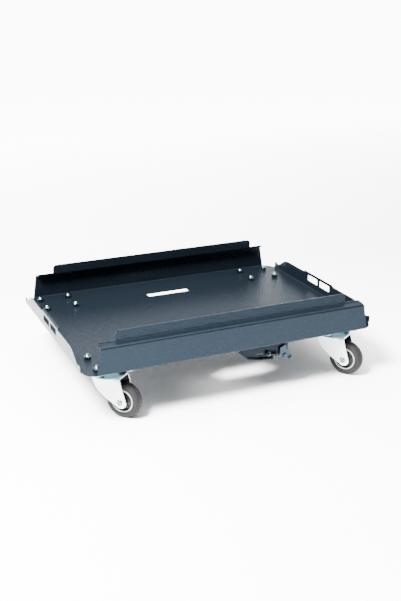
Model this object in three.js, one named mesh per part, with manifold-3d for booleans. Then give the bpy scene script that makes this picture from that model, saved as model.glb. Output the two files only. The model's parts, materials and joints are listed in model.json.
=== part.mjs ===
// Wheel dolly: a folded sheet-steel tray on four swivel plate casters, with a spring catch under its front edge.
// Millimetres. +X runs along the rails to the right, +Y away from the front, +Z up, z = 0 on the floor.
import * as THREE from "three";
import { mergeVertices } from "three/addons/utils/BufferGeometryUtils.js";
import Module from "manifold-3d";

// ---- driving dimensions ----
const SHEET = 2.5; // tray sheet
const BEND = 2.2; // inside radius of every fold
const DECK_Z = 108; // underside of the deck, which is the height of a caster
const HALF_WIDTH = 243; // to the outer face of a rail
const HALF_LENGTH = 326; // to the outer face of an end flange
const CORNER_R = 24; // deck corners
const RAIL_FOOT = 301; // half length of a rail at its foot
const RAIL_HEAD = 292; // half length of a rail at its ledge
const RAIL_H = 57;
const LEDGE_DEPTH = 18;
const LEDGE_RISE = 3;
const LIP_H = 22.5;
const LIP_LEAN = 2;
const LIP_HALF = 255;
const LIP_R = 9;
const FLANGE_HALF = 216;
const FLANGE_H = 34.5;
const FLANGE_END_H = 16.5;
const GRIP_HALF = 62; // raised middle of an end flange
const GRIP_H = 40;
const GRIP_HEM = 5; // its top edge, rolled inwards
const WINDOW = { near: 3.5, far: 50, low: 17, high: 32 };
const SLOT = { length: 102, width: 22, y: 148 };
const PLATE = { x: 92, y: 88, t: 3, r: 7 };
const BOLTS = { x: 66, y: 62, hole: 4.5 };
const TRAIL = 33; // from a swivel axis to its wheel's axle
const WHEEL_R = 37.5;
const TYRE_HALF = 12;
const RIM_R = 24.5;
const LEG_IN = 17; // inner face of a fork leg
const LEG_T = 2.5;
const CROWN_Z = 87.2; // top of the fork's crown
const DISH_R = 36;
const RACE_Z = 98.3; // underside of the upper race
const AXLE_R = 4;
const GAP = 0.3; // running gap
// Swivel axes, and the angle of each wheel's trail in degrees from +X.
const CASTERS = {
  front_left: { x: -260, y: -188, turn: -48 },
  front_right: { x: 253, y: -188, turn: -56 },
  rear_left: { x: -260, y: 177, turn: 62 },
  rear_right: { x: 253, y: 177, turn: 40 },
};
const LATCH_Y = -229; // front face of the catch plate
const TRAY_Y = 3.3; // puts the middle of the whole dolly, whose front wheels stand proud, on the origin
const PIVOT = { x: 112, z: 75 };
const ANCHOR = { x: 73, z: 85 };

// ---- materials ----
const paint = { color: 0x3a4854, roughness: 0.42, metalness: 0.2 };
const zinc = { color: 0xc9d0d4, roughness: 0.3, metalness: 0.85 };
const dark = { color: 0x3c3d40, roughness: 0.6, metalness: 0.0 };
const rubber = { color: 0x5f5b5a, roughness: 0.75, metalness: 0.0 };

// ---- solids ----
const wasm = await Module();
wasm.setup();

function solid(geometry) {
  const g = geometry.index ? geometry.toNonIndexed() : geometry.clone();
  g.deleteAttribute("normal");
  g.deleteAttribute("uv");
  const merged = mergeVertices(g, 1e-4);
  return new wasm.Manifold(
    new wasm.Mesh({
      numProp: 3,
      vertProperties: merged.attributes.position.array,
      triVerts: new Uint32Array(merged.index.array),
    }),
  );
}

function geometryOf(body) {
  const m = body.getMesh();
  const v = new Float32Array(m.numVert * 3);
  for (let i = 0; i < m.numVert; i++) {
    v.set(m.vertProperties.subarray(i * m.numProp, i * m.numProp + 3), i * 3);
  }
  const g = new THREE.BufferGeometry();
  g.setAttribute("position", new THREE.BufferAttribute(v, 3));
  g.setIndex(new THREE.BufferAttribute(new Uint32Array(m.triVerts), 1));
  const flat = g.toNonIndexed();
  flat.computeVertexNormals();
  return flat;
}

const joined = (first, ...rest) => rest.reduce((a, b) => a.add(b), first);
const cut = (first, ...rest) => rest.reduce((a, b) => a.subtract(b), first);

// Prisms of a 2-D shape: along +Z from z0, along Y from y0 (shape in X, Z), along X from x0 (shape in Y, Z).
function prismZ(shape, z0, height, curveSegments = 8) {
  const g = new THREE.ExtrudeGeometry(shape, { depth: height, bevelEnabled: false, curveSegments });
  return solid(g.translate(0, 0, z0));
}

function prismY(shape, y0, length, curveSegments = 8) {
  const g = new THREE.ExtrudeGeometry(shape, { depth: length, bevelEnabled: false, curveSegments });
  return solid(g.rotateX(Math.PI / 2).translate(0, y0 + length, 0));
}

function prismX(shape, x0, length, curveSegments = 8) {
  const g = new THREE.ExtrudeGeometry(shape, { depth: length, bevelEnabled: false, curveSegments });
  return solid(g.rotateX(Math.PI / 2).rotateZ(Math.PI / 2).translate(x0, 0, 0));
}

function lathe(points, segments) {
  const closed = [...points, points[0]].map(([r, h]) => new THREE.Vector2(r, h));
  return new THREE.LatheGeometry(closed, segments);
}

// Turned piece about +Z; its profile runs anticlockwise in radius and height.
const turned = (points, segments = 24) => solid(lathe(points, segments).rotateX(Math.PI / 2));

// The same about +Y.
const turnedY = (points, segments = 32) => solid(lathe(points, segments));

function rod(r, z0, height, segments = 16) {
  const g = new THREE.CylinderGeometry(r, r, height, segments);
  return g.rotateX(Math.PI / 2).translate(0, 0, z0 + height / 2);
}

const rodZ = (r, x, y, z0, height, segments) =>
  solid(rod(r, z0, height, segments).translate(x, y, 0));

const rodY = (r, x, z, y0, length, segments) =>
  solid(rod(r, y0, length, segments).rotateX(-Math.PI / 2).translate(x, 0, z));

function outline(points) {
  return new THREE.Shape(points.map(([a, b]) => new THREE.Vector2(a, b)));
}

function roundedRect(halfX, halfY, r) {
  const s = new THREE.Shape();
  s.moveTo(-halfX + r, -halfY);
  s.lineTo(halfX - r, -halfY);
  s.absarc(halfX - r, -halfY + r, r, -Math.PI / 2, 0, false);
  s.lineTo(halfX, halfY - r);
  s.absarc(halfX - r, halfY - r, r, 0, Math.PI / 2, false);
  s.lineTo(-halfX + r, halfY);
  s.absarc(-halfX + r, halfY - r, r, Math.PI / 2, Math.PI, false);
  s.lineTo(-halfX, -halfY + r);
  s.absarc(-halfX + r, -halfY + r, r, Math.PI, 1.5 * Math.PI, false);
  return s;
}

// Cross-section of folded sheet, from its middle line. Each inner corner is a bend of radius BEND.
function foldedSection(line) {
  const p = line.map(([a, b]) => new THREE.Vector2(a, b));
  const r = BEND + SHEET / 2;
  const middle = [{ at: p[0], way: p[1].clone().sub(p[0]).normalize() }];
  for (let i = 1; i < p.length - 1; i++) {
    const into = p[i].clone().sub(p[i - 1]).normalize();
    const out = p[i + 1].clone().sub(p[i]).normalize();
    const turn = Math.atan2(into.cross(out), into.dot(out));
    const reach = r * Math.tan(Math.abs(turn) / 2);
    const start = p[i].clone().addScaledVector(into, -reach);
    const side = new THREE.Vector2(-into.y, into.x).multiplyScalar(Math.sign(turn));
    const centre = start.clone().addScaledVector(side, r);
    const steps = 4;
    for (let k = 0; k <= steps; k++) {
      const a = (turn * k) / steps;
      const at = start.clone().rotateAround(centre, a);
      middle.push({ at, way: into.clone().rotateAround(new THREE.Vector2(), a) });
    }
  }
  const n = p.length;
  middle.push({ at: p[n - 1], way: p[n - 1].clone().sub(p[n - 2]).normalize() });
  const edge = (side) =>
    middle.map(({ at, way }) => [at.x - (side * way.y * SHEET) / 2, at.y + (side * way.x * SHEET) / 2]);
  return outline([...edge(-1), ...edge(1).reverse()]);
}

// ---- tray ----
const root = new THREE.Group();
root.name = "wheel_dolly";
root.position.y = TRAY_Y;

function add(parent, name, body, look) {
  const mesh = new THREE.Mesh(geometryOf(body), new THREE.MeshStandardMaterial(look));
  mesh.name = name;
  parent.add(mesh);
}

const corners = [
  [-1, -1],
  [1, -1],
  [1, 1],
  [-1, 1],
];
const bend = BEND + SHEET;

function deckPlate() {
  let deck = prismZ(roundedRect(HALF_LENGTH - bend, HALF_WIDTH - bend, CORNER_R), DECK_Z, SHEET, 10);
  for (const side of [-1, 1]) {
    const slot = roundedRect(SLOT.length / 2, SLOT.width / 2, 1);
    deck = cut(deck, prismZ(slot, DECK_Z - 5, 15, 2).translate(0, side * SLOT.y, 0));
  }
  for (const place of Object.values(CASTERS)) {
    for (const [i, j] of corners) {
      const x = place.x + (i * BOLTS.x) / 2;
      const y = place.y + (j * BOLTS.y) / 2;
      deck = cut(deck, rodZ(BOLTS.hole, x, y, DECK_Z - 5, 15, 12));
    }
  }
  return deck;
}

// Front rail: wall, ledge and lip in one folded section, trimmed to its outline seen from the front.
function rail() {
  const mid = SHEET / 2;
  const wall = -HALF_WIDTH + mid;
  const inner = -HALF_WIDTH + LEDGE_DEPTH;
  const top = DECK_Z + RAIL_H - mid;
  const section = foldedSection([
    [-HALF_WIDTH + 12, DECK_Z + mid],
    [wall, DECK_Z + mid],
    [wall, top],
    [inner, top + LEDGE_RISE],
    [inner + LIP_LEAN, top + LEDGE_RISE + LIP_H],
  ]);
  const ledgeTop = DECK_Z + RAIL_H + LEDGE_RISE + 2;
  const lipTop = top + LEDGE_RISE + LIP_H + 2;
  const face = new THREE.Shape();
  face.moveTo(-RAIL_FOOT, DECK_Z - 1);
  face.lineTo(RAIL_FOOT, DECK_Z - 1);
  face.lineTo(RAIL_HEAD, DECK_Z + RAIL_H);
  face.lineTo(RAIL_HEAD, ledgeTop);
  face.lineTo(LIP_HALF, ledgeTop);
  face.lineTo(LIP_HALF, lipTop - LIP_R - 2);
  face.absarc(LIP_HALF - LIP_R, lipTop - LIP_R - 2, LIP_R, 0, Math.PI / 2, false);
  face.lineTo(-LIP_HALF + LIP_R, lipTop - 2);
  face.absarc(-LIP_HALF + LIP_R, lipTop - LIP_R - 2, LIP_R, Math.PI / 2, Math.PI, false);
  face.lineTo(-LIP_HALF, ledgeTop);
  face.lineTo(-RAIL_HEAD, ledgeTop);
  face.lineTo(-RAIL_HEAD, DECK_Z + RAIL_H);
  let body = prismX(section, -RAIL_FOOT, 2 * RAIL_FOOT).intersect(prismY(face, -HALF_WIDTH - 5, 60, 6));
  for (const side of [-1, 1]) {
    body = cut(body, ledgeCorner(side));
  }
  return body;
}

// Waste outside the rounded inner corner at a ledge's end.
function ledgeCorner(side) {
  const r = 9;
  const y = -HALF_WIDTH + LEDGE_DEPTH + 2;
  const waste = new THREE.Shape();
  waste.moveTo(RAIL_HEAD - r, y + 4);
  waste.lineTo(RAIL_HEAD - r, y);
  waste.absarc(RAIL_HEAD - r, y - r, r, Math.PI / 2, 0, true);
  waste.lineTo(RAIL_HEAD + 4, y - r);
  waste.lineTo(RAIL_HEAD + 4, y + 4);
  const block = prismZ(waste, DECK_Z + RAIL_H - 8, 20, 5);
  return side > 0 ? block : block.mirror([1, 0, 0]);
}

// Right end flange: upright sheet with a raised, hemmed grip, two windows and swept-down ends.
function endFlange() {
  const mid = SHEET / 2;
  const up = HALF_LENGTH - mid;
  const section = foldedSection([
    [HALF_LENGTH - 12, DECK_Z + mid],
    [up, DECK_Z + mid],
    [up, DECK_Z + GRIP_H - mid],
    [HALF_LENGTH - GRIP_HEM, DECK_Z + GRIP_H - mid],
  ]);
  const half = new THREE.Path();
  half.moveTo(FLANGE_HALF - 2, DECK_Z - 1);
  half.lineTo(FLANGE_HALF, DECK_Z + 3);
  half.lineTo(FLANGE_HALF, DECK_Z + FLANGE_END_H - 3);
  half.quadraticCurveTo(FLANGE_HALF, DECK_Z + FLANGE_END_H, FLANGE_HALF - 4, DECK_Z + FLANGE_END_H);
  half.bezierCurveTo(206, DECK_Z + 13, 199, DECK_Z + 12.5, 190, DECK_Z + 16.5);
  half.bezierCurveTo(178, DECK_Z + 23, 168, DECK_Z + FLANGE_H, 147, DECK_Z + FLANGE_H);
  half.lineTo(GRIP_HALF + 3, DECK_Z + FLANGE_H);
  half.lineTo(GRIP_HALF, DECK_Z + FLANGE_H + 2);
  half.lineTo(GRIP_HALF, DECK_Z + GRIP_H - 2);
  half.quadraticCurveTo(GRIP_HALF, DECK_Z + GRIP_H + 1, GRIP_HALF - 3, DECK_Z + GRIP_H + 1);
  const right = half.getPoints(7).map((v) => [v.x, v.y]);
  const left = right.map(([a, b]) => [-a, b]).reverse();
  const face = outline([...right, ...left]);
  let body = prismY(section, -FLANGE_HALF, 2 * FLANGE_HALF);
  body = body.intersect(prismX(face, HALF_LENGTH - 15, 20));
  for (const side of [-1, 1]) {
    const opening = roundedRect((WINDOW.far - WINDOW.near) / 2, (WINDOW.high - WINDOW.low) / 2, 2);
    const middle = (side * (WINDOW.far + WINDOW.near)) / 2;
    const block = prismX(opening, HALF_LENGTH - 6, 12, 4);
    body = cut(body, block.translate(0, middle, DECK_Z + (WINDOW.high + WINDOW.low) / 2));
  }
  return body;
}

function tray() {
  const front = rail();
  const right = endFlange();
  return joined(deckPlate(), front, front.mirror([0, 1, 0]), right, right.mirror([1, 0, 0]));
}

add(root, "tray", tray(), paint);

// ---- fixing bolts: head under the caster plate, locknut on the deck ----
function hexPrism(across, z0, height) {
  return rod(across / Math.sqrt(3), z0, height, 6);
}

function fixingBolt(x, y) {
  const under = DECK_Z - PLATE.t;
  const over = DECK_Z + SHEET;
  const body = joined(
    solid(hexPrism(13, under - 5.3, 5.3)),
    solid(rod(4, under - 1, over + 12.5 - under, 10)),
    solid(hexPrism(13, over, 6.6)),
    solid(rod(5.6, over + 6.6, 1.5, 12)),
  );
  return body.translate(x, y, 0);
}

// ---- casters ----
function topPlate(place) {
  let plate = prismZ(roundedRect(PLATE.x / 2, PLATE.y / 2, PLATE.r), DECK_Z - PLATE.t, PLATE.t, 3);
  for (const [i, j] of corners) {
    plate = cut(plate, rodZ(BOLTS.hole, (i * BOLTS.x) / 2, (j * BOLTS.y) / 2, DECK_Z - 10, 15, 10));
  }
  plate = cut(plate, rodZ(6.5, 0, 0, DECK_Z - 10, 15, 16));
  return plate.translate(place.x, place.y, 0);
}

function upperRace(place) {
  const top = DECK_Z - PLATE.t;
  const cup = turned([
    [6.5, RACE_Z],
    [27, RACE_Z],
    [29, RACE_Z + 1.5],
    [30, top],
    [6.5, top],
  ]);
  return cup.translate(place.x, place.y, 0);
}

// Rivet on the swivel axis: shank through plate, races and crown, with its head under the crown.
function kingpin(place) {
  const head = CROWN_Z - LEG_T - GAP;
  const profile = [
    [0, head - 5],
    [7, head - 5],
    [10, head - 3.5],
    [10, head],
    [6, head],
    [6, DECK_Z - 0.5],
    [0, DECK_Z - 0.5],
  ];
  const pin = turned(profile, 16);
  return pin.translate(place.x, place.y, 0);
}

// Dish that the fork hangs from: a wide rolled rim below, the race's running face on top.
function lowerRace() {
  const foot = CROWN_Z + GAP;
  const top = RACE_Z - GAP;
  return turned(
    [
      [6.5, foot],
      [DISH_R - 2.5, foot],
      [DISH_R, foot + 2],
      [DISH_R, foot + 4],
      [DISH_R - 2, foot + 6],
      [31.5, top - 2],
      [30, top],
      [6.5, top],
    ],
    28,
  );
}

// Pressed fork: one folded strip, a crown with two legs, trimmed to the legs' swept-back outline.
function fork() {
  const mid = LEG_IN + LEG_T / 2;
  const crown = CROWN_Z - LEG_T / 2;
  const section = foldedSection([
    [-mid, 20],
    [-mid, crown],
    [mid, crown],
    [mid, 20],
  ]);
  const side = new THREE.Shape();
  side.moveTo(-29, CROWN_Z + 1);
  side.lineTo(-28, CROWN_Z - 6);
  side.bezierCurveTo(-24, 68, -17, 54, 3, 41);
  side.lineTo(TRAIL - 9, 30);
  side.absarc(TRAIL + 1.5, WHEEL_R - 0.5, 12, Math.PI * 1.22, Math.PI * 2, false);
  side.lineTo(33.5, CROWN_Z - 4);
  side.lineTo(32, CROWN_Z + 1);
  let body = prismX(section, -30, 80).intersect(prismY(side, -30, 60, 8));
  body = cut(body, rodZ(6.5, 0, 0, 75, 20, 20), rodY(AXLE_R + GAP, TRAIL, WHEEL_R, -30, 60, 14));
  for (const way of [-1, 1]) {
    body = body.add(legRib(way));
  }
  return body;
}

// Stiffening panel pressed out of a leg along its front edge, from the crown to the axle.
function legRib(way) {
  const outer = LEG_IN + LEG_T;
  const rib = outline([
    [22, CROWN_Z - 6],
    [30, CROWN_Z - 6],
    [TRAIL + 7, 51],
    [TRAIL - 7, 51],
  ]);
  return prismY(rib, way > 0 ? outer - 0.5 : -outer - 0.7, 1.2, 4);
}

function tyre() {
  const h = TYRE_HALF;
  const inner = RIM_R + GAP;
  const profile = [
    [inner, -h + 1],
    [29, -h],
    [34.5, -h + 2],
    [36.8, -h + 5.5],
    [WHEEL_R, -3],
    [WHEEL_R, 3],
    [36.8, h - 5.5],
    [34.5, h - 2],
    [29, h],
    [inner, h - 1],
  ];
  return turnedY(profile, 32).translate(TRAIL, 0, WHEEL_R);
}

// Wheel centre: hub, thin web and rim flange in one moulding.
function wheelCentre() {
  const profile = [
    [4.6, -16],
    [10, -16],
    [12, -5],
    [RIM_R - 3, -10.5],
    [RIM_R, -10.5],
    [RIM_R, 10.5],
    [RIM_R - 3, 10.5],
    [12, 5],
    [10, 16],
    [4.6, 16],
  ];
  return turnedY(profile, 28).translate(TRAIL, 0, WHEEL_R);
}

function axle() {
  const outer = LEG_IN + LEG_T;
  const body = joined(
    rodY(AXLE_R, TRAIL, WHEEL_R, -outer - 2, 2 * outer + 12, 14),
    rodY(6.6, TRAIL, WHEEL_R, -outer - GAP - 2.6, 2.6, 18),
    rodY(5.2, TRAIL, WHEEL_R, -outer - GAP - 3.6, 1.2, 18),
  );
  return body;
}

function axleNut() {
  const start = LEG_IN + LEG_T + GAP;
  const nut = hexPrism(13, start, 7).rotateX(-Math.PI / 2).translate(TRAIL, 0, WHEEL_R);
  return cut(solid(nut), rodY(AXLE_R + GAP, TRAIL, WHEEL_R, 10, 30, 14));
}

for (const [name, place] of Object.entries(CASTERS)) {
  add(root, name + "_plate", topPlate(place), zinc);
  add(root, name + "_upper_race", upperRace(place), zinc);
  add(root, name + "_kingpin", kingpin(place), zinc);
  const swivel = new THREE.Group();
  swivel.name = name + "_swivel_group";
  swivel.position.set(place.x, place.y, 0);
  swivel.rotation.z = THREE.MathUtils.degToRad(place.turn);
  root.add(swivel);
  add(swivel, name + "_lower_race", lowerRace(), zinc);
  add(swivel, name + "_fork", fork(), zinc);
  add(swivel, name + "_axle", axle(), zinc);
  add(swivel, name + "_axle_nut", axleNut(), zinc);
  add(swivel, name + "_tyre", tyre(), rubber);
  add(swivel, name + "_wheel_centre", wheelCentre(), dark);
  corners.forEach(([i, j], n) => {
    const x = place.x + (i * BOLTS.x) / 2;
    const y = place.y + (j * BOLTS.y) / 2;
    add(root, name + "_bolt_" + (n + 1), fixingBolt(x, y), zinc);
  });
}

// ---- spring catch under the front edge ----
// Bracket: a plate hanging from the deck, with a foot under the deck and a flange down its lower edge.
function latchBracket() {
  const back = LATCH_Y + 5;
  const plate = outline([
    [-1.5, DECK_Z],
    [27, 82.5],
    [53, 77],
    [84, 74],
    [104, 68.5],
    [120, 79],
    [120, DECK_Z],
  ]);
  const foot = outline([
    [-1.5, DECK_Z],
    [-1.5, DECK_Z - SHEET],
    [120, DECK_Z - SHEET],
    [120, DECK_Z],
  ]);
  const flange = outline([
    [-1.5, DECK_Z],
    [-5, DECK_Z],
    [25, 80.5],
    [52.5, 74.6],
    [84, 71.6],
    [84, 74],
    [53, 77],
    [27, 82.5],
  ]);
  const slot = prismY(roundedRect(7.5, 1.8, 1.7), back - 5, 12, 3).translate(54.5, 0, 85);
  const body = joined(
    prismY(plate, back, SHEET),
    prismY(foot, back, 30),
    prismY(flange, back - 5, 5 + SHEET),
  );
  return cut(
    body,
    slot,
    rodY(3 + GAP, ANCHOR.x, ANCHOR.z, back - 20, 60, 14),
    rodY(3 + GAP, PIVOT.x, PIVOT.z, back - 20, 60, 14),
  );
}

function anchorBolt() {
  const back = LATCH_Y + 5;
  return joined(
    rodY(3, ANCHOR.x, ANCHOR.z, back - 10, 10 + SHEET + 1, 14),
    solid(hexPrism(10, back + SHEET + GAP, 4).rotateX(-Math.PI / 2).translate(ANCHOR.x, 0, ANCHOR.z)),
  );
}

function anchorNut() {
  const back = LATCH_Y + 5;
  const nut = hexPrism(10, back - 5.5, 5).rotateX(-Math.PI / 2).translate(ANCHOR.x, 0, ANCHOR.z);
  return cut(solid(nut), rodY(3 + GAP, ANCHOR.x, ANCHOR.z, back - 20, 30, 14));
}

function pivotPin() {
  const back = LATCH_Y + 5;
  return joined(
    rodY(3, PIVOT.x, PIVOT.z, LATCH_Y - 2.5, back + SHEET + 3 - LATCH_Y, 14),
    rodY(5.5, PIVOT.x, PIVOT.z, LATCH_Y - 2.5, 2.2, 16),
    rodY(5.5, PIVOT.x, PIVOT.z, back + SHEET + GAP, 2, 16),
  );
}

// Stamped catch plate: finger at the top, pedal nose at the right, tail down to the left.
function catchPlate() {
  const face = new THREE.Shape();
  face.moveTo(100, 74);
  face.quadraticCurveTo(101, 70.5, 108, 69.8);
  face.lineTo(118, 68);
  face.lineTo(126, 72);
  face.quadraticCurveTo(128, 74, 126.5, 76);
  face.lineTo(117, 87.5);
  face.lineTo(114.5, 91.5);
  face.lineTo(114.5, 97);
  face.quadraticCurveTo(111, 99, 107.5, 97.5);
  face.lineTo(106, 95.5);
  face.lineTo(100, 94.5);
  const nose = outline([
    [118.5, 69],
    [119.5, 66.8],
    [127, 70.4],
    [126, 72.6],
  ]);
  const body = joined(prismY(face, LATCH_Y, 3, 5), prismY(nose, LATCH_Y - 3, 6));
  return cut(body, rodY(3 + GAP, PIVOT.x, PIVOT.z, LATCH_Y - 20, 40, 14));
}

// Tension spring between the anchor bolt and the catch plate.
class Coil extends THREE.Curve {
  getPoint(t) {
    const turns = 6;
    const a = 2 * Math.PI * turns * t;
    const x = 82.2 + 15 * t;
    return new THREE.Vector3(x, LATCH_Y - 2 + 4.4 * Math.cos(a), 80 + 4.4 * Math.sin(a));
  }
}

function spring() {
  const wire = new THREE.Shape();
  wire.absarc(0, 0, 0.9, 0, 2 * Math.PI, false);
  const g = new THREE.ExtrudeGeometry(wire, { steps: 60, curveSegments: 2, extrudePath: new Coil() });
  return solid(g);
}

add(root, "latch_bracket", latchBracket(), paint);
add(root, "latch_anchor_bolt", anchorBolt(), zinc);
add(root, "latch_anchor_nut", anchorNut(), zinc);
add(root, "latch_pivot", pivotPin(), zinc);
add(root, "latch_catch", catchPlate(), zinc);
add(root, "latch_spring", spring(), zinc);

export default root;
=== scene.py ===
import json
import math

import bmesh
import bpy
from mathutils import Matrix, Vector

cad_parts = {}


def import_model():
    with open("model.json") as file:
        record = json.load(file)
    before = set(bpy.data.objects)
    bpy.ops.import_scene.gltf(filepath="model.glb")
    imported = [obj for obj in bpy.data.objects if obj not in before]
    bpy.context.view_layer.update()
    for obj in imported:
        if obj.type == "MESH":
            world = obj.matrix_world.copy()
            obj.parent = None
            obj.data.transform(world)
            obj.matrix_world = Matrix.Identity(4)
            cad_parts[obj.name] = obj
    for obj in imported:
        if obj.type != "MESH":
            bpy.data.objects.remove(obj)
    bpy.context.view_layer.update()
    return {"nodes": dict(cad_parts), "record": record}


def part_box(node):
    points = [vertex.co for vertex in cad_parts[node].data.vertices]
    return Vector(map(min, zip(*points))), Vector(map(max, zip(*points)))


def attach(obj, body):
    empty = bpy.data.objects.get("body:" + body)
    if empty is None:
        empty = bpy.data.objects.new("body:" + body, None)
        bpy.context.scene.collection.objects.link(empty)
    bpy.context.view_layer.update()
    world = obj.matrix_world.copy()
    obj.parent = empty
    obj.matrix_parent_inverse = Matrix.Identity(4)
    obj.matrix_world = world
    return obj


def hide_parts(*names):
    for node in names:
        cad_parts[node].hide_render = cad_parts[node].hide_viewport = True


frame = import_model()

NODES = frame["nodes"]
BODY_OF = {n: b for b, ns in frame["record"]["behaviour"]["bodies"].items() for n in ns}
JOINTS = {j["name"]: j for j in frame["record"]["behaviour"]["joints"]}
CASTERS = ("front_left", "front_right", "rear_left", "rear_right")

# ---------------------------------------------------------------- sizes in metres, and a few angles
SHEET = 0.0025  # tray sheet
NUT_ACROSS = 0.013  # M8 hexagons
NUT_BORE = 0.0041
BOLT_R = 0.004  # M8 bolts, and the axles
CHAMFER_SLOPE = 0.62  # drop at a hexagon's corner for each metre that it stands out past the flats
FACE_SHARE = 0.96  # radius of a hexagon's round end face, as a share of half the width across flats
BOLT_HEAD_H = 0.0053
SHANK_START = 0.005  # above the foot of the head, so that the two overlap
NUT_H = 0.0065
NUT_GAP = 0.0001  # between a nut's foot and the face it sits on
COLLAR_FOOT = 0.0064  # the locknut's collar starts just inside the top of its hexagon
COLLAR_IN, COLLAR_OUT = 0.0046, 0.0056
THREAD_PITCH = 0.00125
THREAD_START = 0.005  # above the deck, inside the nut
WELD_GAP = 0.00001
BEVEL_FROM = math.radians(38)  # edges sharper than this get a radius
SPLIT_FROM = math.radians(48)  # edges still sharper than this after it stay hard
TREAD_R = 0.0375
AXLE_SEAT = 0.0198  # from the wheel's middle to just outside a fork leg
AXLE_HEAD = 0.0227  # from the wheel's middle to the top of the axle's head
AXLE_END = 0.0292
AXLE_NUT_TOP = 0.0266
AXLE_NUT_BORE = 0.0042
LEG_SIDE = 0.018  # from the wheel's middle to just past the inner face of a fork leg
TURNED = 0.6  # cosine from which a face counts as turned towards something
TURN_PER_FIXING = 37  # degrees, so that no two neighbouring nuts stop at the same angle

# ---------------------------------------------------------------- camera
SENSOR = 36.0
FOCAL_PX = 925.6  # focal length in units of the image's pixel
IMAGE_H = 601
AZIMUTH, ELEVATION, ROLL = math.radians(-23.674), math.radians(19.907), math.radians(-0.263)
EYE = Vector((-0.7628, -1.7825, 0.8411))


def place_camera():
    back = Vector((math.sin(AZIMUTH) * math.cos(ELEVATION),
                   -math.cos(AZIMUTH) * math.cos(ELEVATION), math.sin(ELEVATION)))
    right = Vector((math.cos(AZIMUTH), math.sin(AZIMUTH), 0.0))
    up = back.cross(right)
    c, s = math.cos(ROLL), math.sin(ROLL)
    right, up = c * right + s * up, -s * right + c * up
    data = bpy.data.cameras.new("camera")
    data.sensor_fit = "VERTICAL"
    data.sensor_height = SENSOR
    data.lens = FOCAL_PX * SENSOR / IMAGE_H
    data.clip_end = 50
    cam = bpy.data.objects.new("camera", data)
    bpy.context.scene.collection.objects.link(cam)
    cam.matrix_world = Matrix.Translation(EYE) @ Matrix((right, up, back)).transposed().to_4x4()
    bpy.context.scene.camera = cam


place_camera()


# ---------------------------------------------------------------- materials
class Nodes:
    """A material's node tree with short calls for the nodes used here."""

    def __init__(self, name):
        self.mat = bpy.data.materials.new(name)
        self.mat.use_nodes = True
        self.tree = self.mat.node_tree
        self.tree.nodes.clear()
        out = self.add("ShaderNodeOutputMaterial")
        self.bsdf = self.add("ShaderNodeBsdfPrincipled")
        self.link(self.bsdf.outputs[0], out.inputs["Surface"])
        self.coord = self.add("ShaderNodeTexCoord").outputs["Object"]

    def add(self, kind, **props):
        node = self.tree.nodes.new(kind)
        for key, value in props.items():
            setattr(node, key, value)
        return node

    def link(self, a, b):
        self.tree.links.new(a, b)

    def noise(self, scale, detail, rough, stretch=None, distortion=0.0):
        node = self.add("ShaderNodeTexNoise")
        node.inputs["Scale"].default_value = scale
        node.inputs["Detail"].default_value = detail
        node.inputs["Roughness"].default_value = rough
        node.inputs["Distortion"].default_value = distortion
        if stretch:
            mapping = self.add("ShaderNodeMapping")
            mapping.inputs["Scale"].default_value = stretch
            self.link(self.coord, mapping.inputs["Vector"])
            self.link(mapping.outputs[0], node.inputs["Vector"])
        else:
            self.link(self.coord, node.inputs["Vector"])
        return node.outputs["Fac"]

    def cells(self, scale, smooth):
        """Distance to the nearest cell's middle, rounded off by smooth."""
        node = self.add("ShaderNodeTexVoronoi", feature="SMOOTH_F1")
        node.inputs["Scale"].default_value = scale
        node.inputs["Smoothness"].default_value = smooth
        self.link(self.coord, node.inputs["Vector"])
        return node.outputs["Distance"]

    def ramp(self, value, stops):
        node = self.add("ShaderNodeValToRGB")
        ramp = node.color_ramp
        while len(ramp.elements) < len(stops):
            ramp.elements.new(0.5)
        for element, (at, color) in zip(ramp.elements, stops):
            element.position = at
            element.color = (*color, 1.0)
        self.link(value, node.inputs["Fac"])
        return node.outputs["Color"]

    def spread(self, value, low, high, source=(0.3, 0.7)):
        """Maps the source range of a value to low..high, clamped."""
        node = self.add("ShaderNodeMapRange")
        node.inputs["From Min"].default_value = source[0]
        node.inputs["From Max"].default_value = source[1]
        node.inputs["To Min"].default_value = low
        node.inputs["To Max"].default_value = high
        self.link(value, node.inputs["Value"])
        return node.outputs["Result"]

    def blend(self, factor, base, over):
        """The colour base, with the plain colour over mixed in where factor is high."""
        node = self.add("ShaderNodeMix", data_type="RGBA")
        self.link(factor, node.inputs[0])
        self.link(base, node.inputs[6])
        node.inputs[7].default_value = (*over, 1.0)
        return node.outputs[2]

    def total(self, a, b):
        node = self.add("ShaderNodeMath", operation="ADD")
        self.link(a, node.inputs[0])
        self.link(b, node.inputs[1])
        return node.outputs[0]

    def bump(self, *layers):
        """Stacked bumps: (height, strength, distance in metres)."""
        previous = None
        for height, strength, distance in layers:
            node = self.add("ShaderNodeBump")
            node.inputs["Strength"].default_value = strength
            node.inputs["Distance"].default_value = distance
            self.link(height, node.inputs["Height"])
            if previous:
                self.link(previous, node.inputs["Normal"])
            previous = node.outputs["Normal"]
        self.link(previous, self.bsdf.inputs["Normal"])

    def set(self, **values):
        """Sets surface inputs to a number, a colour or another node's output."""
        names = {"color": "Base Color", "metal": "Metallic", "rough": "Roughness",
                 "specular": "Specular IOR Level", "tint": "Specular Tint",
                 "glow": "Emission Strength", "glow_color": "Emission Color"}
        for key, value in values.items():
            socket = self.bsdf.inputs[names[key]]
            if isinstance(value, (int, float)):
                socket.default_value = value
            elif isinstance(value, tuple):
                socket.default_value = (*value, 1.0)
            else:
                self.link(value, socket)


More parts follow.
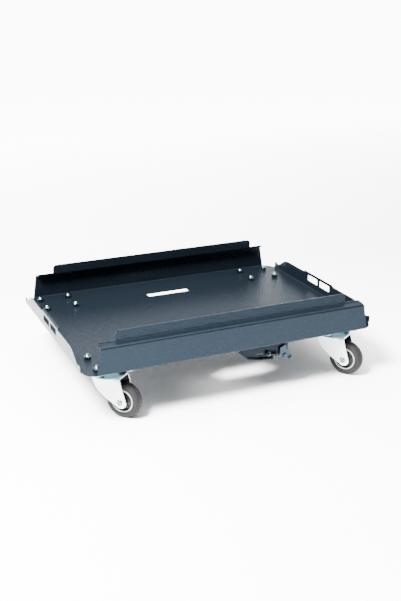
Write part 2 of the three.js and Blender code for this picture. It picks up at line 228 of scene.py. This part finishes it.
def paint_material(name="slate_powder_coat", shade=1.0):
    """Dark slate-blue powder coat: fine pebbled texture, semi-gloss, very slightly uneven."""
    n = Nodes(name)

    # A shade below 1 darkens every colour, which makes a copy of the coat with painted shade.
    def shaded(*color):
        return tuple(shade * c for c in color)

    broad = n.noise(4.0, 3, 0.5)
    fine = n.noise(420.0, 3, 0.6)
    pebble = n.cells(360.0, 0.7)
    base = n.ramp(broad, [(0.3, shaded(0.0066, 0.0102, 0.0148)), (0.7, shaded(0.0073, 0.0113, 0.0162))])
    base = n.blend(n.spread(fine, 0.0, 0.4, (0.45, 0.75)), base, shaded(0.0132, 0.0190, 0.0250))
    n.set(color=base, metal=0.65, specular=0.11, tint=(0.66, 0.68, 0.70),
          rough=n.spread(broad, 0.18, 0.22))
    n.bump((n.noise(190.0, 2, 0.6), 0.42, 0.0007), (pebble, 0.95, 0.0005), (fine, 0.30, 0.00012))
    return n.mat


def zinc_material(name, tint, rough, metal=1.0):
    """Blue-passivated zinc plate: faint straw and blue clouds, rolling marks."""
    n = Nodes(name)
    cloud = n.noise(38.0, 3, 0.5, distortion=0.8)
    grain = n.noise(700.0, 2, 0.6, stretch=(1.0, 1.0, 0.15))
    spots = n.noise(160.0, 4, 0.65)
    cool = tuple(c * k for c, k in zip(tint, (0.80, 0.94, 0.98)))
    warm = tuple(c * k for c, k in zip(tint, (1.06, 1.02, 0.92)))
    base = n.ramp(cloud, [(0.30, cool), (0.5, tint), (0.72, warm)])
    base = n.blend(n.spread(spots, 0.0, 0.30, (0.58, 0.80)), base, tuple(0.68 * c for c in tint))
    n.set(color=base, metal=metal, rough=n.total(n.spread(cloud, *rough), n.spread(grain, 0.0, 0.06)))
    n.bump((cloud, 0.08, 0.0008), (grain, 0.10, 0.00006))
    return n.mat


def steel_material():
    """Oiled spring wire."""
    n = Nodes("spring_wire")
    streak = n.noise(900.0, 2, 0.5)
    n.set(color=n.ramp(streak, [(0.3, (0.035, 0.037, 0.040)), (0.7, (0.09, 0.092, 0.096))]),
          metal=1.0, rough=n.spread(streak, 0.26, 0.42))
    n.bump((streak, 0.15, 0.00005))
    return n.mat


def rubber_material():
    """Grey thermoplastic rubber tread, faintly brown, with floor dust."""
    n = Nodes("grey_tyre")
    dust = n.noise(55.0, 5, 0.65)
    fine = n.noise(1100.0, 3, 0.6)
    base = n.ramp(dust, [(0.32, (0.0078, 0.0074, 0.0076)), (0.68, (0.0098, 0.0092, 0.0094))])
    base = n.blend(n.spread(fine, 0.0, 0.25), base, (0.014, 0.0132, 0.0134))
    n.set(color=base, rough=n.spread(dust, 0.52, 0.70), specular=0.12)
    n.bump((dust, 0.10, 0.0004), (fine, 0.20, 0.00006))
    return n.mat


def plastic_material(name, low, high, rough=(0.38, 0.52)):
    """Moulded plastic, cloudy between two colours, with a fine mould grain."""
    n = Nodes(name)
    cloud = n.noise(70.0, 3, 0.5)
    fine = n.noise(1500.0, 2, 0.5)
    n.set(color=n.ramp(cloud, [(0.3, low), (0.7, high)]), rough=n.spread(cloud, *rough), specular=0.25)
    n.bump((fine, 0.12, 0.00004))
    return n.mat


def floor_material():
    """Matt white floor that glows further back, as a lit backdrop does."""
    n = Nodes("studio_floor")
    cloud = n.noise(1.7, 2, 0.5)
    axes = n.add("ShaderNodeSeparateXYZ")
    n.link(n.coord, axes.inputs[0])
    n.set(color=n.ramp(cloud, [(0.3, (0.90, 0.90, 0.905)), (0.7, (0.92, 0.92, 0.925))]),
          rough=n.spread(cloud, 0.50, 0.58), specular=0.25, glow_color=(1.0, 1.0, 1.0),
          glow=n.spread(axes.outputs["Y"], 0.0, 8.0, (0.6, 2.8)))
    return n.mat


PAINT = paint_material()
# Painted shade: the same powder coat darkened to 0.55 for the latch bracket, which hangs in shadow under
# the near rail.
PAINT_UNDER_SHADED = paint_material("slate_powder_coat_painted_shade", 0.55)
# Painted shade: zinc darkened far below real plating for the latch parts, which sit in shadow under the
# near rail.
ZINC_LATCH_SHADED = zinc_material("zinc_latch_painted_shade", tint=(0.024, 0.032, 0.040), rough=(0.34, 0.46))
ZINC_FORK = zinc_material("zinc_fork", tint=(0.88, 0.90, 0.91), rough=(0.32, 0.42), metal=0.55)
ZINC_RACE = zinc_material("zinc_race", tint=(0.35, 0.47, 0.50), rough=(0.12, 0.20))
# Painted shade: the lower race's zinc darkened well below the plate's, for the dark line where its rim
# faces the shadow under the tray.
ZINC_DISH_SHADED = zinc_material("zinc_dish_painted_shade", tint=(0.060, 0.100, 0.115), rough=(0.14, 0.22))
# Painted shade for the inside of the forks: a dark copy of their zinc.
ZINC_INNER_SHADE = zinc_material("zinc_fork_painted_shade", tint=(0.035, 0.042, 0.046), rough=(0.40, 0.50))
ZINC_NUT = zinc_material("zinc_fastener", tint=(0.14, 0.20, 0.205), rough=(0.10, 0.18))
WIRE = steel_material()
RUBBER = rubber_material()
CORE = plastic_material("wheel_core", (0.005, 0.0055, 0.006), (0.008, 0.0085, 0.009), (0.34, 0.44))
RING = plastic_material("wheel_ring", (0.19, 0.20, 0.20), (0.24, 0.25, 0.25))
NYLON = plastic_material("locknut_nylon", (0.030, 0.075, 0.17), (0.045, 0.10, 0.21))


# ---------------------------------------------------------------- CAD nodes that stay
def dress(name, material, bevel=0.0005, segments=2):
    """New material, a small edge radius and smooth shading for a CAD node."""
    obj = NODES[name]
    obj.data.materials.clear()
    obj.data.materials.append(material)
    with bpy.context.temp_override(object=obj, active_object=obj, selected_objects=[obj]):
        bpy.context.view_layer.objects.active = obj
        if obj.data.has_custom_normals:
            bpy.ops.mesh.customdata_custom_splitnormals_clear()
    for polygon in obj.data.polygons:
        polygon.use_smooth = True
    weld = obj.modifiers.new("weld", "WELD")
    weld.merge_threshold = WELD_GAP
    if bevel:
        edges = obj.modifiers.new("edge_radius", "BEVEL")
        edges.width = bevel
        edges.segments = segments
        edges.limit_method = "ANGLE"
        edges.angle_limit = BEVEL_FROM
        edges.miter_outer = "MITER_ARC"
        edges.use_clamp_overlap = True
    split = obj.modifiers.new("hard_edges", "EDGE_SPLIT")
    split.split_angle = SPLIT_FROM
    weighted = obj.modifiers.new("flat_faces_stay_flat", "WEIGHTED_NORMAL")
    weighted.weight = 90


# ---------------------------------------------------------------- mesh pieces
def new_piece(name, bm, material, body, angle=40, replaces=()):
    """Turns a finished bmesh into a piece that rides on a body."""
    bmesh.ops.recalc_face_normals(bm, faces=bm.faces)
    mesh = bpy.data.meshes.new(name)
    bm.to_mesh(mesh)
    bm.free()
    for polygon in mesh.polygons:
        polygon.use_smooth = True
    mesh.set_sharp_from_angle(angle=math.radians(angle))
    mesh.materials.append(material)
    obj = bpy.data.objects.new(name, mesh)
    bpy.context.scene.collection.objects.link(obj)
    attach(obj, body)
    if replaces:
        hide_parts(*replaces)


def revolve(bm, profile, segments, matrix, closed=False):
    """Revolves (radius, height) points about the local +Z, placed by matrix. Radius 0 closes the end."""
    rings = []
    for r, h in profile:
        if r <= 1e-9:
            rings.append([bm.verts.new(matrix @ Vector((0, 0, h)))])
            continue
        rings.append([bm.verts.new(matrix @ Vector((r * math.cos(a), r * math.sin(a), h)))
                      for a in (2 * math.pi * k / segments for k in range(segments))])
    pairs = list(zip(rings, rings[1:]))
    if closed:
        pairs.append((rings[-1], rings[0]))
    for a, b in pairs:
        for k in range(segments):
            m = (k + 1) % segments
            if len(a) == 1:
                bm.faces.new((a[0], b[m], b[k]))
            elif len(b) == 1:
                bm.faces.new((a[k], a[m], b[0]))
            else:
                bm.faces.new((a[k], a[m], b[m], b[k]))


def arc(cx, cy, r, start, end, steps):
    """Points on an arc, from start to end in degrees."""
    return [(cx + r * math.cos(math.radians(start + (end - start) * k / steps)),
             cy + r * math.sin(math.radians(start + (end - start) * k / steps)))
            for k in range(steps + 1)]


def band(bm, a, b):
    """Quads between two closed rings with the same number of points."""
    for k in range(len(a)):
        m = (k + 1) % len(a)
        bm.faces.new((a[k], a[m], b[m], b[k]))


def hexagon(bm, z0, z1, matrix, chamfer_low=True, chamfer_high=True, bore=0.0):
    """Hexagon with turned chamfers, as on a real nut or bolt head."""
    per_side = 6
    apothem = NUT_ACROSS / 2
    corner = apothem / math.cos(math.pi / 6)
    drop = (corner - apothem) * CHAMFER_SLOPE
    count = 6 * per_side
    low, high, cap_low, cap_high = [], [], [], []

    def circle(r, z):
        angles = (2 * math.pi * k / count for k in range(count))
        return [bm.verts.new(matrix @ Vector((r * math.cos(a), r * math.sin(a), z))) for a in angles]

    for k in range(count):
        a = 2 * math.pi * k / count
        local = (a % (math.pi / 3)) - math.pi / 6
        r = apothem / math.cos(local)
        extra = (r - apothem) / (corner - apothem)
        x, y = r * math.cos(a), r * math.sin(a)
        zl = z0 + (drop * extra if chamfer_low else 0)
        zh = z1 - (drop * extra if chamfer_high else 0)
        low.append(bm.verts.new(matrix @ Vector((x, y, zl))))
        high.append(bm.verts.new(matrix @ Vector((x, y, zh))))
        ux, uy = FACE_SHARE * apothem * math.cos(a), FACE_SHARE * apothem * math.sin(a)
        cap_low.append(bm.verts.new(matrix @ Vector((ux, uy, z0))))
        cap_high.append(bm.verts.new(matrix @ Vector((ux, uy, z1))))
    for a, b in ((cap_low, low), (low, high), (high, cap_high)):
        band(bm, a, b)
    if bore:
        inner_low, inner_high = circle(bore, z0), circle(bore, z1)
        for a, b in ((inner_low, cap_low), (cap_high, inner_high), (inner_high, inner_low)):
            band(bm, a, b)
    else:
        bm.faces.new(cap_low)
        bm.faces.new(cap_high)


def thread_profile(r, z0, z1):
    """Outline of a threaded end: crests and roots, closed with a small chamfer at the top."""
    points = [(r * 0.94, z0)]
    z = z0
    while z + THREAD_PITCH < z1 - 0.0006:
        points += [(r, z + 0.35 * THREAD_PITCH), (r, z + 0.5 * THREAD_PITCH),
                   (r * 0.90, z + 0.85 * THREAD_PITCH), (r * 0.90, z + THREAD_PITCH)]
        z += THREAD_PITCH
    points += [(r * 0.97, z1 - 0.0007), (r * 0.84, z1), (0, z1)]
    return points


def fixing(name, serial):
    """M8 caster fixing: bolt head and shank below, nylon-insert locknut and thread end above."""
    low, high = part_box(name)
    x, y = (low.x + high.x) / 2, (low.y + high.y) / 2
    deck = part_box("tray")[0].z + SHEET
    nut = deck + NUT_GAP
    shank = low.z + SHANK_START
    thread = deck + THREAD_START
    turn = math.radians(serial * TURN_PER_FIXING % 60)
    m = Matrix.Translation((x, y, 0)) @ Matrix.Rotation(turn, 4, "Z")
    body = BODY_OF[name]
    bm = bmesh.new()
    hexagon(bm, low.z, low.z + BOLT_HEAD_H, m, chamfer_high=False)
    revolve(bm, [(0, shank), (BOLT_R, shank), (BOLT_R, thread)] + thread_profile(BOLT_R, thread, high.z),
            28, m)
    hexagon(bm, nut, nut + NUT_H, m, bore=NUT_BORE)
    new_piece(name + "_steel", bm, ZINC_NUT, body, replaces=[name])
    bm = bmesh.new()
    z = deck + COLLAR_FOOT
    revolve(bm, [(COLLAR_IN, z), (COLLAR_OUT, z), (COLLAR_OUT, z + 0.0007)]
            + arc(COLLAR_IN, z + 0.0007, COLLAR_OUT - COLLAR_IN, 0, 90, 5)
            + [(0.0044, z + 0.0016)], 36, m, closed=True)
    new_piece(name + "_collar", bm, ZINC_NUT, body)
    bm = bmesh.new()
    revolve(bm, [(0.0039, z + 0.0002), (0.00445, z + 0.0002), (0.00445, z + 0.0015), (0.0039, z + 0.0013)],
            28, m, closed=True)
    new_piece(name + "_insert", bm, NYLON, body)


def wheel_matrix(caster):
    """Frame at a wheel's middle with its +Z along the axle."""
    joint = JOINTS[caster + "_wheel_spin"]
    axis = Vector(joint["axis"]).normalized()
    z = Vector((0, 0, 1))
    side = z.cross(axis).normalized()
    return Matrix.Translation(joint["pos_m"]) @ Matrix((side, axis.cross(side), axis)).transposed().to_4x4()


def both_sides(half):
    """A half profile joined to its mirror image across the wheel's middle."""
    return half + [(r, -h) for r, h in reversed(half)]


def tyre_piece(caster):
    """Moulded tread: soft shoulders, a step onto the rim and a faint parting line round the crown."""
    half = [(0.0249, 0.0098), (0.0250, 0.0108), (0.0258, 0.0115), (0.0278, 0.0117), (0.0290, 0.0116)]
    half += arc(0.0301, 0.0055, 0.0060, 82, 18, 10)
    half += [(0.0367, 0.0061), (0.0373, 0.0041), (0.03748, 0.0020), (TREAD_R, 0.0006), (0.03738, 0.0003)]
    bm = bmesh.new()
    revolve(bm, both_sides(half), 112, wheel_matrix(caster), closed=True)
    new_piece(caster + "_tread", bm, RUBBER, caster + "_wheel", 50, [caster + "_tyre"])


def core_pieces(caster):
    """Dark moulded centre, a light ring at the rim edge each side and a thread guard over the hub."""
    m = wheel_matrix(caster)
    body = caster + "_wheel"
    half = [(0.0046, 0.0160), (0.0093, 0.0160), (0.0100, 0.0153), (0.0108, 0.0085), (0.0118, 0.0060),
            (0.0150, 0.0050), (0.0175, 0.0050), (0.0195, 0.0060), (0.0208, 0.0085), (0.0212, 0.0098),
            (0.0230, 0.0100), (0.0245, 0.0095)]
    bm = bmesh.new()
    revolve(bm, both_sides(half), 96, m, closed=True)
    new_piece(caster + "_core", bm, CORE, body, 40, [caster + "_wheel_centre"])
    bm = bmesh.new()
    ring = [(0.0213, 0.0096), (0.0214, 0.0107)] + arc(0.0221, 0.0107, 0.0007, 180, 90, 4)
    ring += arc(0.0236, 0.0106, 0.0008, 90, 10, 4) + [(0.0244, 0.0098), (0.0230, 0.0094)]
    for side in (-1, 1):
        revolve(bm, ring, 96, m @ Matrix.Diagonal((1, 1, side, 1)), closed=True)
    new_piece(caster + "_rim_rings", bm, RING, body)
    bm = bmesh.new()
    for k in range(8):
        for side in (-1, 1):
            core_rib(bm, m, 2 * math.pi * k / 8, side)
    new_piece(caster + "_core_ribs", bm, CORE, body)


def core_rib(bm, m, angle, side):
    """Radial rib from hub to rim with a sloping, narrower top."""
    r0, r1, half_t = 0.0108, 0.0204, 0.0011
    z0, z1 = side * 0.0045, side * 0.0076
    c, s = math.cos(angle), math.sin(angle)

    def at(r, t, z):
        return bm.verts.new(m @ Vector((r * c - t * s, r * s + t * c, z)))

    foot = [at(r0, -half_t, z0), at(r1, -half_t, z0), at(r1, half_t, z0), at(r0, half_t, z0)]
    top = [at(r0, -half_t * 0.7, z1), at(r1, -half_t * 0.7, z1 * 0.86), at(r1, half_t * 0.7, z1 * 0.86),
           at(r0, half_t * 0.7, z1)]
    bm.faces.new(foot)
    bm.faces.new(top)
    band(bm, foot, top)


def axle_pieces(caster):
    """Axle with a domed, centre-dimpled head, and its nut."""
    m = wheel_matrix(caster)
    body = caster + "_swivel"
    head, seat = -AXLE_HEAD, -AXLE_SEAT
    profile = [(0.0, head + 0.0012), (0.0016, head + 0.0010), (0.0026, head + 0.0002), (0.0036, head),
               (0.0052, head + 0.0003), (0.0063, head + 0.0013), (0.0066, seat - 0.0004),
               (0.0064, seat), (BOLT_R, seat), (BOLT_R, AXLE_END - 0.0007), (0.0034, AXLE_END),
               (0.0, AXLE_END)]
    bm = bmesh.new()
    revolve(bm, profile, 48, m)
    new_piece(caster + "_axle_turned", bm, ZINC_NUT, body, replaces=[caster + "_axle"])
    bm = bmesh.new()
    hexagon(bm, AXLE_SEAT + NUT_GAP, AXLE_NUT_TOP, m, chamfer_low=False, bore=AXLE_NUT_BORE)
    new_piece(caster + "_axle_locknut", bm, ZINC_NUT, body, replaces=[caster + "_axle_nut"])


def shade_inside_fork(caster):
    """Painted shade: dark, dull zinc on the faces of a fork that look at its wheel and under its crown,
    where shade falls.
    """
    mesh = NODES[caster + "_fork"].data
    mesh.materials.append(ZINC_INNER_SHADE)
    place = NODES[caster + "_fork"].matrix_world
    hub = Vector(JOINTS[caster + "_wheel_spin"]["pos_m"])
    axis = Vector(JOINTS[caster + "_wheel_spin"]["axis"]).normalized()
    for polygon in mesh.polygons:
        side = (place @ polygon.center - hub).dot(axis)
        facing = (place.to_3x3() @ polygon.normal).dot(axis) * (1 if side > 0 else -1)
        below_crown = polygon.normal.z < -TURNED and abs(side) < LEG_SIDE
        if facing < -TURNED or below_crown:
            polygon.material_index = 1


def dress_casters():
    serial = 0
    for caster in CASTERS:
        dress(caster + "_plate", ZINC_RACE, 0.0006)
        dress(caster + "_upper_race", ZINC_RACE, 0.0004)
        dress(caster + "_kingpin", ZINC_NUT, 0.0004)
        dress(caster + "_lower_race", ZINC_DISH_SHADED, 0.0004)
        dress(caster + "_fork", ZINC_FORK, 0.0006)
        shade_inside_fork(caster)
        tyre_piece(caster)
        core_pieces(caster)
        axle_pieces(caster)
        for k in range(1, 5):
            serial += 1
            fixing(f"{caster}_bolt_{k}", serial)


dress("tray", PAINT, 0.0007, 3)
dress("latch_bracket", PAINT_UNDER_SHADED, 0.0005)
for part in ("latch_anchor_bolt", "latch_anchor_nut", "latch_pivot", "latch_catch"):
    dress(part, ZINC_LATCH_SHADED, 0.0005)
dress("latch_spring", WIRE, 0)
dress_casters()


# ---------------------------------------------------------------- stage
FLOOR_HALF = 60.0
# The world's strength from low to high, and where along the direction's Y or Z it starts and ends rising.
WORLD_BACK = (0.4, 2.7, -0.20, 0.6)
WORLD_TOP = (0.0, 6.0, 0.66, 0.98)


def floor():
    h = FLOOR_HALF
    mesh = bpy.data.meshes.new("floor")
    mesh.from_pydata([(-h, -h, 0), (h, -h, 0), (h, h, 0), (-h, h, 0)], [], [(0, 1, 2, 3)])
    mesh.materials.append(floor_material())
    obj = bpy.data.objects.new("floor", mesh)
    bpy.context.scene.collection.objects.link(obj)


def area_light(name, at, aim, width, height, power):
    data = bpy.data.lights.new(name, "AREA")
    data.shape = "RECTANGLE"
    data.size, data.size_y = width, height
    data.energy = power
    obj = bpy.data.objects.new(name, data)
    bpy.context.scene.collection.objects.link(obj)
    obj.location = at
    obj.rotation_euler = (Vector(aim) - Vector(at)).to_track_quat("-Z", "Y").to_euler()


def world():
    """White studio: brightest overhead, softer behind the object and dim in front of it."""
    w = bpy.data.worlds.new("studio")
    bpy.context.scene.world = w
    w.use_nodes = True
    tree = w.node_tree
    background = tree.nodes["Background"]
    background.inputs["Color"].default_value = (1.0, 1.0, 1.0, 1.0)
    direction = tree.nodes.new("ShaderNodeTexCoord").outputs["Generated"]
    axes = tree.nodes.new("ShaderNodeSeparateXYZ")
    tree.links.new(direction, axes.inputs[0])

    def ranged(value, low, high, start, end):
        node = tree.nodes.new("ShaderNodeMapRange")
        node.interpolation_type = "SMOOTHSTEP"
        for key, number in (("From Min", start), ("From Max", end), ("To Min", low), ("To Max", high)):
            node.inputs[key].default_value = number
        tree.links.new(value, node.inputs["Value"])
        return node.outputs["Result"]

    total = tree.nodes.new("ShaderNodeMath")
    total.operation = "ADD"
    tree.links.new(ranged(axes.outputs["Y"], *WORLD_BACK), total.inputs[0])
    tree.links.new(ranged(axes.outputs["Z"], *WORLD_TOP), total.inputs[1])
    tree.links.new(total.outputs[0], background.inputs["Strength"])


floor()
world()
area_light("overhead", (0.1, 0.3, 2.4), (0, 0, 0), 2.6, 2.0, 90)
area_light("key_left", (-1.42, -0.75, 2.25), (0, 0, 0.1), 0.8, 0.8, 860)
